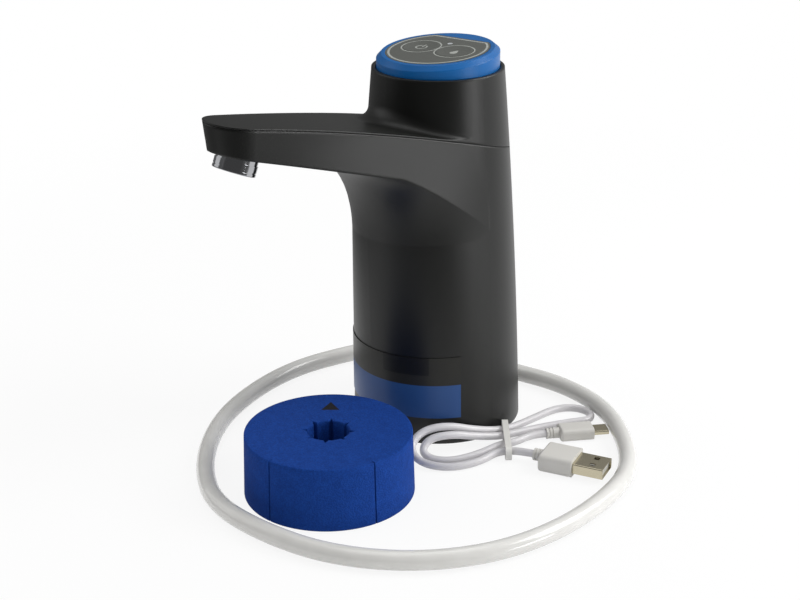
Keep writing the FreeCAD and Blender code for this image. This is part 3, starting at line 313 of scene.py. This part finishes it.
# %% A material under construction
class Paint:
    """A material and the nodes that are added to it."""

    def __init__(self, name, **settings):
        self.material = bpy.data.materials.new(name)
        self.material.use_nodes = True
        self.tree = self.material.node_tree
        self.shader = self.tree.nodes["Principled BSDF"]
        for key, value in settings.items():
            self.shader.inputs[key.replace("_", " ")].default_value = value

    def node(self, kind, settings=None, inputs=(), output=0):
        """Adds a node: its settings first, then the values or links of its sockets."""
        made = self.tree.nodes.new(kind)
        for key, value in (settings or {}).items():
            setattr(made, key, value)
        pairs = inputs.items() if isinstance(inputs, dict) else enumerate(inputs)
        for key, value in pairs:
            self.join(value, made.inputs[key])
        return Amount(self, made.outputs[output])

    def join(self, value, socket):
        """Links an amount to a socket, or sets a plain value on it."""
        if isinstance(value, Amount):
            self.tree.links.new(value.socket, socket)
        else:
            socket.default_value = value

    def place(self, rotation=(0, 0, 0), location=(0, 0, 0)):
        """Object coordinates, moved and then turned so that a pattern can be drawn in a piece's own frame."""
        there = self.node("ShaderNodeTexCoord", output="Object")
        moved = self.node("ShaderNodeVectorMath", {"operation": "SUBTRACT"}, [there, location])
        return self.node("ShaderNodeMapping", None, {"Vector": moved, "Rotation": rotation})

    def parts(self, vector):
        """The three numbers of a vector."""
        split = self.node("ShaderNodeSeparateXYZ", None, [vector]).socket.node
        return [Amount(self, out) for out in split.outputs]

    def noise(self, vector, scale, detail=2.0, rough=0.5):
        """Soft cloud from 0 to 1, with about as many spots to the metre as its scale says."""
        return self.node("ShaderNodeTexNoise", None,
                         {"Vector": vector, "Scale": scale, "Detail": detail, "Roughness": rough})

    def mix(self, share, first, second):
        """Colour that goes from the first to the second as the share goes from 0 to 1. A Mix node takes its
        two colours in sockets 6 and 7, after those for numbers and vectors, and hands the mix out in 2."""
        return self.node("ShaderNodeMix", {"data_type": "RGBA"}, {0: share, 6: first, 7: second}, output=2)

    def bump(self, height, distance, edge=None):
        """Grain from a height, on top of edges that are shaded as if they were rounded to a radius."""
        inputs = {"Height": height, "Distance": distance}
        if edge:
            inputs["Normal"] = self.node("ShaderNodeBevel", {"samples": 16}, {"Radius": edge})
        self.join(self.node("ShaderNodeBump", None, inputs), self.shader.inputs["Normal"])

    def use(self, **links):
        """Joins amounts to the shader's sockets and hands back the finished material."""
        for key, value in links.items():
            self.join(value, self.shader.inputs[key.replace("_", " ")])
        return self.material


# %% [markdown]
# A colour that looks right on a screen isn't the number that light sums need, so each one is written as it
# shows, from 0 to 255, and turned into linear light. Dressing a piece is then one line.

# %% Colours and dressing
def rgb(red, green, blue):
    """A colour as it shows on a screen, 0 to 255, in the linear values that nodes take."""
    linear = [((c / 255 + 0.055) / 1.055) ** 2.4 if c > 10 else c / 255 / 12.92 for c in (red, green, blue)]
    return (*linear, 1.0)


def scaled(colour, factor):
    """The same colour, lighter or darker by a factor, up to full white."""
    return (*(min(1.0, c * factor) for c in colour[:3]), 1.0)


def dress(material, *names):
    """Gives a material to the named CAD nodes or new pieces."""
    for name in names:
        mesh = bpy.data.objects[name].data
        if mesh.materials:
            mesh.materials[0] = material
        else:
            mesh.materials.append(material)
    print(material.name, "on", ", ".join(names))


print("a grey that shows as 128 is", round(rgb(128, 128, 128)[0], 3), "in linear light")

# %% [markdown]
# Moulded plastic is never one flat colour. Its tool leaves a fine grain, which breaks up a highlight, and the
# shade drifts a little over a hand's width. The same recipe serves every plastic here with its own numbers.
# The housing and the crown have soft edges on the real tap. Their shading is rounded there to a radius, which
# costs no geometry and leaves the true solids alone.

# %% Moulded plastic
def moulded(name, colour, roughness, grain=0.35 * MM, height=0.012 * MM, gloss=0.5, edge=None):
    """Plastic whose shade drifts by 6% either way, with a grain of a width and a height on its surface."""
    drift = 0.06
    uneven = 0.12
    paint = Paint(name, Specular_IOR_Level=gloss)
    there = paint.place()
    cells = paint.noise(there, 1 / grain, detail=3.0, rough=0.6)
    cloud = paint.noise(there, scale=40.0)
    paint.bump(cells, height, edge)
    shade = paint.mix(cloud, scaled(colour, 1 - drift), scaled(colour, 1 + drift))
    return paint.use(Base_Color=shade, Roughness=cells * uneven + (roughness - uneven / 2))


housing = moulded("housing_satin", rgb(15, 16, 14), 0.40, grain=0.4 * MM, height=0.008 * MM, gloss=0.44,
                  edge=1.3 * MM)
dress(housing, "lower_housing", "upper_housing")
crown_blue = moulded("crown_blue", rgb(2, 90, 156), 0.36, grain=0.6 * MM, height=0.006 * MM, gloss=0.3,
                     edge=0.6 * MM)
dress(crown_blue, "crown_cap")
grip = moulded("plug_grip", rgb(205, 203, 198), 0.45, grain=0.5 * MM, height=0.01 * MM)
dress(grip, "wide_plug_body", "small_plug_body")
tie_plastic = moulded("tie_plastic", rgb(222, 221, 216), 0.4)
dress(tie_plastic, "lead_tie")

# %% [markdown]
# The parts inside the housing are plastics too, seen only when the tap is taken apart: black mouldings, white
# gears, a grey pipe, green boards, a sleeved cell and a rubber seal.

# %% Plastics inside the housing
inner_black = moulded("inner_black", rgb(48, 48, 48), 0.5)
dress(inner_black, "base_plate", "pump_body", "pump_cover", "spout_elbow", "button_switches")
gear_white = moulded("gear_white", rgb(225, 224, 218), 0.4)
dress(gear_white, "drive_gear", "driven_gear", "flow_straightener", "wide_plug_tongue")
pipe_grey = moulded("pipe_grey", rgb(180, 184, 188), 0.3)
dress(pipe_grey, "delivery_pipe", "light_pipe", "status_light")
board_green = moulded("board_green", rgb(30, 90, 50), 0.35)
dress(board_green, "control_board", "charge_board")
cell_green = moulded("cell_sleeve", rgb(70, 120, 75), 0.3)
dress(cell_green, "battery_cell")
seal_black = moulded("seal_black", rgb(35, 35, 35), 0.6)
dress(seal_black, "shaft_seal")

# %% [markdown]
# The lead's sheath is a smooth moulded plastic with a wide, shallow grain. The hose is soft and clear with a
# haze in it. Clear all through, it would look like glass, so only a part of the light goes through it, and
# the shine on top comes from a thin clear coat.

# %% Lead sheath and milky hose
sheath = moulded("lead_sheath", rgb(208, 206, 208), 0.3, grain=0.8 * MM, height=0.006 * MM)
dress(sheath, "charging_lead")


def milky(name):
    """Soft clear tube with a haze in it: part of the light goes through."""
    paint = Paint(name, IOR=1.4, Transmission_Weight=0.2, Coat_Weight=0.7, Coat_Roughness=0.06)
    there = paint.place()
    haze = paint.noise(there, scale=120.0, detail=3.0)
    paint.bump(paint.noise(there, scale=900.0), 0.01 * MM)
    shade = paint.mix(haze, rgb(226, 225, 221), rgb(241, 240, 237))
    return paint.use(Base_Color=shade, Roughness=haze * 0.1 + 0.16)


dress(milky("hose_milky"), "suction_hose_tube")

# %% [markdown]
# Metal: the nozzle ring is chromed and polished, so it is nearly all reflection, with faint smears that keep
# it from looking like a mirror. The plugs' shells are thin nickel with handling marks on them.

# %% Metals
def metal(name, colour, roughness, smear):
    """Bare metal; where its marks are strong it is 7% darker, and rougher by up to the smear."""
    paint = Paint(name, Metallic=1.0)
    marks = paint.noise(paint.place(), scale=350.0, detail=3.0, rough=0.6)
    paint.bump(marks, 0.004 * MM)
    shade = paint.mix(marks, colour, scaled(colour, 0.93))
    return paint.use(Base_Color=shade, Roughness=marks * smear + roughness)


chrome = metal("chrome", rgb(176, 177, 180), roughness=0.05, smear=0.08)
dress(chrome, "outlet_nozzle")
nickel = metal("nickel", rgb(196, 188, 164), roughness=0.16, smear=0.16)
dress(nickel, "wide_plug_shell", "small_plug_shell", "charge_port")
steel = metal("steel", rgb(200, 200, 200), roughness=0.25, smear=0.15)
dress(steel, "housing_screws", "panel_screws", "base_screws", "pump_screws", "board_screws", "motor_shaft",
      "idler_pin", "motor_can")

# %% [markdown]
# The control film is printed with pale lines: one just inside its edge and one round each key. They are drawn
# in the panel's own frame, which is tilted towards the spout and turned a little. A line is every place whose
# distance from a circle or a chord is small, so it needs no picture and stays sharp from close by.

# %% Control film
crown_height = 160.56 * MM
crown_tilt = math.radians(4.87)
panel_turn = math.radians(10.0)
film_line_radius = 20.3 * MM
film_line_straight = 15.4 * MM
key_offset = 8.6 * MM
key_ring_radius = 8.1 * MM
half_film_line = 0.45 * MM
half_key_ring = 0.5 * MM
ink_edge = 0.15 * MM
film_grey = rgb(86, 88, 84)
film_ink = rgb(160, 163, 158)


def crown_frame(paint):
    """Coordinates in the panel's own plane, found by turning back first the tilt and then the turn."""
    flat = paint.place((-crown_tilt, 0, 0), (0, 0, crown_height))
    level = paint.node("ShaderNodeMapping", None, {"Vector": flat, "Rotation": (0, 0, -panel_turn)})
    return paint.parts(level)[:2]


def film_finish(paint, ink, roughness):
    """Grey film with ink on it, and a grain too fine to see that keeps its shine soft."""
    grain = paint.noise(paint.place(), scale=3000.0)
    paint.bump(grain, 0.006 * MM)
    return paint.use(Base_Color=paint.mix(ink, film_grey, film_ink), Roughness=grain * 0.1 + roughness)


def printed_film(name):
    """Grey film; pale lines where the distance from the edge's circle or chord, or a key's rim, is small."""
    paint = Paint(name, Specular_IOR_Level=0.3)
    x, y = crown_frame(paint)
    edge = abs((length_of(x, y) - film_line_radius).most(y - film_line_straight))
    left = abs(length_of(x + key_offset, y) - key_ring_radius)
    right = abs(length_of(x - key_offset, y) - key_ring_radius)
    line = edge.below(half_film_line, ink_edge).most(left.least(right).below(half_key_ring, ink_edge))
    return film_finish(paint, line, roughness=0.4)


dress(printed_film("film_print"), "control_film")

# %% [markdown]
# Each key carries one plain sign in the middle of its dish, drawn in the same way: a ring with a bar for
# power, and a drop for pouring. The sign function is handed over as a value, so one recipe makes both keys.

# %% Keys
half_stroke = 0.3 * MM
ring_radius = 2.3 * MM
opening_foot = 0.9 * MM
opening_half_width = 1.0 * MM
bar_middle = 1.9 * MM
bar_half_height = 1.5 * MM
drop_radius = 1.6 * MM
drop_middle = -0.7 * MM
drop_tip = 2.6 * MM
drop_slope = 1.9
cut_edge = 0.1 * MM


def power_sign(x, y):
    """Ring that is open at the top, with a short bar standing in the opening."""
    ring = abs(length_of(x, y) - ring_radius).below(half_stroke, ink_edge)
    opening = y.above(opening_foot, cut_edge) * abs(x).below(opening_half_width, cut_edge)
    bar = abs(x).below(half_stroke, ink_edge) * abs(y - bar_middle).below(bar_half_height, cut_edge)
    return (ring * (1 - opening)).most(bar)


def drop_sign(x, y):
    """Drop: a disc, and above it a point whose half width shrinks with height."""
    disc = length_of(x, y - drop_middle).below(drop_radius, ink_edge)
    point = (abs(x) * drop_slope + y).below(drop_tip, ink_edge) * y.above(0.0, cut_edge)
    return disc.most(point)


def printed_key(name, offset, sign):
    """Key in the film's grey with one pale sign in the middle of its dish."""
    paint = Paint(name, Specular_IOR_Level=0.3)
    x, y = crown_frame(paint)
    return film_finish(paint, sign(x - offset, y), roughness=0.38)


dress(printed_key("power_key", -key_offset, power_sign), "power_button")
dress(printed_key("pour_key", key_offset, drop_sign), "pour_button")

# %% [markdown]
# The label is a bare sticker in two bands, black over blue, with a slightly different black panel in the
# middle. It is wrapped round the body, so the panel's place comes from the angle about the body's axis.

# %% Label
band_top = 27.0 * MM
panel_foot = 31.7 * MM
panel_middle = math.radians(-63.0)
panel_half_angle = math.radians(16.0)


def banded_label(name):
    """Blue below the band's top and black above it; the panel is the black within an angle of its middle."""
    paint = Paint(name, Specular_IOR_Level=0.3)
    there = paint.place()
    x, y, z = paint.parts(there)
    angle = paint.node("ShaderNodeMath", {"operation": "ARCTAN2"}, [y, x])
    panel = abs(angle - panel_middle).below(panel_half_angle, 0.01) * z.above(panel_foot, 0.2 * MM)
    cloud = paint.noise(there, scale=60.0)
    black = paint.mix(panel, rgb(36, 36, 33), rgb(20, 20, 19))
    blue = paint.mix(cloud, rgb(34, 68, 122), rgb(42, 78, 132))
    shade = paint.mix(z.above(band_top, 0.3 * MM), blue, black)
    return paint.use(Base_Color=shade, Roughness=cloud * 0.1 + 0.32)


dress(banded_label("label_print"), "label")

# %% [markdown]
# The bung is cut from closed-cell foam. Its skin is a field of tiny open cells, so the colour is mottled and
# nothing shines. It is built as one closed grid that runs up the hole, out over the top, down the side and
# back underneath, with the slits and cuts as dips in the radius. A narrow dip needs close points, so the
# angles are even all round and crowd together at each slit and cut.

# %% Bung's angles and dips
bung_middle = (28.2 * MM, -83.0 * MM)
bung_height = 26.2 * MM
bung_foot = 34.4 * MM
bung_head = 33.6 * MM
bung_hole = 8.5 * MM
bung_corner = 0.5 * MM
dip_depth = 2.0 * MM
slit_half_angle = 0.105
cut_half_angle = 0.0085
slits = [2 * np.pi * k / 8 for k in range(8)]
cuts = [math.radians(-6.5), math.radians(-80.7)]


def close_to(centre, half_span, count):
    """Evenly spaced angles from just before one dip to just past it."""
    return (centre + np.linspace(-half_span, half_span, count)) % (2 * np.pi)


def crowded_angles():
    """Angles round the bung: even ones, and close ones across each slit and cut."""
    around = [np.linspace(0, 2 * np.pi, 360, endpoint=False)]
    around += [close_to(cut, half_span=0.012, count=13) for cut in cuts]
    around += [close_to(slit, half_span=0.11, count=15) for slit in slits]
    return np.unique(np.round(np.concatenate(around), 5))


def dip(around, centre, half_width):
    """1 at the centre of a V-shaped groove and 0 beyond its half width, both as angles."""
    off = np.abs((around - centre + np.pi) % (2 * np.pi) - np.pi)
    return np.clip(1 - off / half_width, 0, 1)


bung_angles = crowded_angles()
print("bung angles", len(bung_angles))

# %% [markdown]
# Each ring of the grid lies between the hole's wall and the outer wall, which leans in a little as it rises.
# A ring is four numbers: its share of the way out, the level at which it takes its wall, a shift of its
# radius, and its own height. Going once round the section gives all the rings in order.

# %% Bung's section
wall_rings = 14
flat_rings = 14
corner_rings = 5


def rings(share, level, shift=0.0, lift=0.0):
    """One row of the four numbers for each ring."""
    return np.stack(np.broadcast_arrays(share, level, shift, level + lift), axis=1)


def section_rings():
    """Up the hole, out over the top, down the side and back underneath. Round each corner one distance grows
    as 1 - cos q while the other shrinks as 1 - sin q, which makes a quarter circle."""
    up = np.linspace(bung_corner, bung_height - bung_corner, wall_rings)
    across = np.linspace(0, 1, flat_rings)[1:-1]
    quarter = np.linspace(0, np.pi / 2, corner_rings)
    grows = bung_corner * (1 - np.cos(quarter))
    shrinks = bung_corner * (1 - np.sin(quarter))
    return np.concatenate([
        rings(0, up),
        rings(0, bung_height, grows[1:], -shrinks[1:]),
        rings(across, bung_height, bung_corner * (1 - 2 * across)),
        rings(1, bung_height, -shrinks, -grows),
        rings(1, up[::-1]),
        rings(1, 0, -grows[1:], shrinks[1:]),
        rings(1 - across, 0, bung_corner * (2 * across - 1)),
        rings(0, 0, shrinks[:-1], grows[:-1]),
    ])


bung_rings = section_rings()
print("bung rings", len(bung_rings))

# %% [markdown]
# The grid is then one sum for all rings and angles at once. The radius is mixed from the two walls by the
# ring's share, so a slit fades out across the top from the hole, and a cut fades in towards the side.

# %% Bung
def foam_bung():
    """point(s, t) = middle + r (cos t, sin t) at the ring's height, where r = hole's wall (1 - share) + outer
    wall * share + shift; the hole's wall grows by the slits and the outer wall shrinks by the cuts."""
    share, level, shift, height = bung_rings.T[:, :, None]
    inner = bung_hole + dip_depth * sum(dip(bung_angles, slit, slit_half_angle) for slit in slits)
    notch = dip_depth * sum(np.sqrt(dip(bung_angles, cut, cut_half_angle)) for cut in cuts)
    outer = bung_foot + (bung_head - bung_foot) * level / bung_height - notch
    radius = inner * (1 - share) + outer * share + shift
    x = bung_middle[0] + radius * np.cos(bung_angles)
    y = bung_middle[1] + radius * np.sin(bung_angles)
    z = np.broadcast_to(height, radius.shape)
    return face_outwards(closed_grid("foam_bung", np.stack([x, y, z], axis=2)))


bung = foam_bung()
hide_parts("bung")
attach(bung, "tap")
print("bung triangles", 2 * len(bung.data.polygons))

# %% [markdown]
# Cut foam shows its cells. Small Voronoi cells and a coarser noise together raise the surface and move the
# colour between two blues. It hardly shines, so its specular level is low. The small triangle printed behind
# the hole is what lies inside three straight limits, in a frame that looks away from the hole's middle.

# %% Foam
mark_turn = math.radians(139.5)
mark_near = 18.4 * MM
mark_tip = 25.9 * MM
mark_slope = 1.97


def foam(name):
    """Royal blue foam: fine cells, a coarser mottle, and the printed triangle behind the hole."""
    paint = Paint(name, Specular_IOR_Level=0.12)
    there = paint.place()
    cells = paint.node("ShaderNodeTexVoronoi", None, {"Vector": there, "Scale": 1600.0})
    mottle = paint.noise(there, scale=260.0, detail=4.0, rough=0.65)
    paint.bump(cells * 0.5 + mottle, 0.18 * MM)
    shade = paint.mix(mottle * 0.55 + cells * 0.6, rgb(4, 36, 100), rgb(24, 69, 152))
    x, y, z = paint.parts(there)
    side = x - bung_middle[0]
    back = y - bung_middle[1]
    away = side * math.cos(mark_turn) + back * math.sin(mark_turn)
    across = side * math.sin(mark_turn) - back * math.cos(mark_turn)
    slopes = (abs(across) * mark_slope + away).below(mark_tip, 0.4 * MM)
    triangle = slopes * away.above(mark_near, 0.2 * MM) * z.above(bung_height - bung_corner, 0.2 * MM)
    return paint.use(Base_Color=paint.mix(triangle, shade, rgb(34, 34, 38)), Roughness=cells * 0.1 + 0.78)


dress(foam("bung_foam"), "foam_bung")

# %% [markdown]
# A photographer's room is never white all round, and black plastic shows that. The sides of the room behind
# the camera and to its left stay open and dark here. They darken reflections alone, in the floor and in the
# world, and take no light away from the object.

# %% Open sides and seen rays
open_sides = {(0.76, -0.65): 0.88, (-0.95, -0.30): 0.80}


def open_share(x, y, middle, soft):
    """How dark the room is that way: towards each open side, beyond a limit that has a soft edge."""
    shares = [(x * side[0] + y * side[1]).above(middle, soft) * dark for side, dark in open_sides.items()]
    return shares[0].most(shares[1])


def ray(paint, kind):
    """1 where light of one kind is worked out, such as Camera, Glossy or Transmission, else 0."""
    return paint.node("ShaderNodeLightPath", output="Is " + kind + " Ray")


def seen_rays(paint):
    """1 for rays from the camera, from a reflection or through a clear thing, else 0."""
    return (ray(paint, "Camera") + ray(paint, "Glossy") + ray(paint, "Transmission")).least(1.0)


print("open sides", list(open_sides))

# %% [markdown]
# The table is plain and pale. It takes the object's soft shadow, while Light Path shows its own white to the
# camera and to polished metal, so that no extra light has to fall on the object. Near the object a little
# less of that white is mixed in, so the shadow of the real paper stays in sight.

# %% Floor
floor_half_side = 3.0
glow_near = 0.87
glow_far = 1.0


def floor_paint(name):
    """White paper mixed with a plain white by share = seen * (near + (far - near) * away), where away goes
    from 0 at the object to 1 far off. Towards the open sides, reflections see black instead."""
    paint = Paint(name, Roughness=0.8, Specular_IOR_Level=0.2)
    paint.shader.inputs["Base Color"].default_value = rgb(240, 240, 240)
    paper = Amount(paint, paint.shader.outputs[0])
    white = paint.node("ShaderNodeEmission", None, {"Color": (1, 1, 1, 1), "Strength": 1.0})
    black = paint.node("ShaderNodeEmission", None, {"Color": (0, 0, 0, 1), "Strength": 0.0})
    x, y = paint.parts(paint.place())[:2]
    away = length_of(x, y).above(limit=0.36, soft=0.4)
    share = seen_rays(paint) * (glow_near + (glow_far - glow_near) * away)
    lit = paint.node("ShaderNodeMixShader", None, [share, paper, white])
    dark = ray(paint, "Glossy") * open_share(x, y, middle=0.21, soft=0.20)
    mixed = paint.node("ShaderNodeMixShader", None, [dark, lit, black])
    paint.join(mixed, paint.tree.nodes["Material Output"].inputs["Surface"])
    return paint.material


def pale_floor(side):
    """One square face with its middle under the object."""
    corners = [(-side, -side, 0), (side, -side, 0), (side, side, 0), (-side, side, 0)]
    mesh = bpy.data.meshes.new("floor")
    mesh.from_pydata(corners, [], [(0, 1, 2, 3)])
    mesh.materials.append(floor_paint("floor_white"))
    floor = bpy.data.objects.new("floor", mesh)
    bpy.context.scene.collection.objects.link(floor)


pale_floor(floor_half_side)
print("floor", 2 * floor_half_side, "m wide")

# %% [markdown]
# The world is the room round the table. The camera sees it white, soft light from it is weaker, and what a
# glossy surface mirrors of it goes dark towards the open sides, as the floor does.

# %% World
class Surroundings(Paint):
    """The world's nodes, written with the same sums as a material's."""

    def __init__(self, world):
        world.use_nodes = True
        self.tree = world.node_tree
        self.sky = self.tree.nodes["Background"]


def studio(soft_level, gloss_level):
    """Strength = soft level for unseen rays, 1 for the camera and through a clear thing, and for a reflection
    the gloss level times what the open sides leave of it."""
    world = bpy.data.worlds.new("studio")
    bpy.context.scene.world = world
    paint = Surroundings(world)
    mirror = ray(paint, "Glossy")
    x, y = paint.parts(paint.node("ShaderNodeTexCoord", output="Generated"))[:2]
    mirrored = gloss_level * (1 - open_share(x, y, middle=0.25, soft=0.7))
    seen = seen_rays(paint)
    level = soft_level * (1 - seen) + seen * (1 - mirror) + mirror * mirrored
    paint.join(level, paint.sky.inputs["Strength"])
    paint.sky.inputs["Color"].default_value = (1, 1, 1, 1)
    print("world", world.name, "with", len(paint.tree.nodes), "nodes")


studio(soft_level=0.56, gloss_level=0.75)

# %% [markdown]
# Four soft lamps stand where large studio boxes would: the key high on the right, a wide one near the table
# in front on the right that puts the sheen on the spout's side, a weak one overhead and a weak fill on the
# left. Their power stays at a plain level, so that a colour renders about as it is written.

# %% Lamps
def soft_lamp(name, place, target, size, power):
    """Area lamp of a width and a height in metres, with its power in watts, that looks at a point."""
    lamp = bpy.data.lights.new(name, "AREA")
    lamp.shape = "RECTANGLE"
    lamp.size, lamp.size_y = size
    lamp.energy = power
    made = bpy.data.objects.new(name, lamp)
    made.location = place
    made.rotation_mode = "QUATERNION"
    made.rotation_quaternion = (Vector(target) - Vector(place)).to_track_quat("-Z", "Y")
    bpy.context.scene.collection.objects.link(made)
    print(name, power, "W")


soft_lamp("key_lamp", place=(0.52, 0.60, 0.64), target=(0, 0, 0.08), size=(0.6, 0.6), power=6.6)
soft_lamp("side_lamp", place=(0.98, 0.30, 0.07), target=(0, -0.06, 0.11), size=(0.4, 0.12), power=2.0)
soft_lamp("top_lamp", place=(-0.2, 0.1, 1.1), target=(0, 0, 0), size=(0.8, 0.8), power=2.2)
soft_lamp("fill_lamp", place=(-0.7, -0.5, 0.5), target=(0, 0, 0.06), size=(0.7, 0.7), power=1.2)
bpy.context.scene.view_settings.view_transform = "Standard"
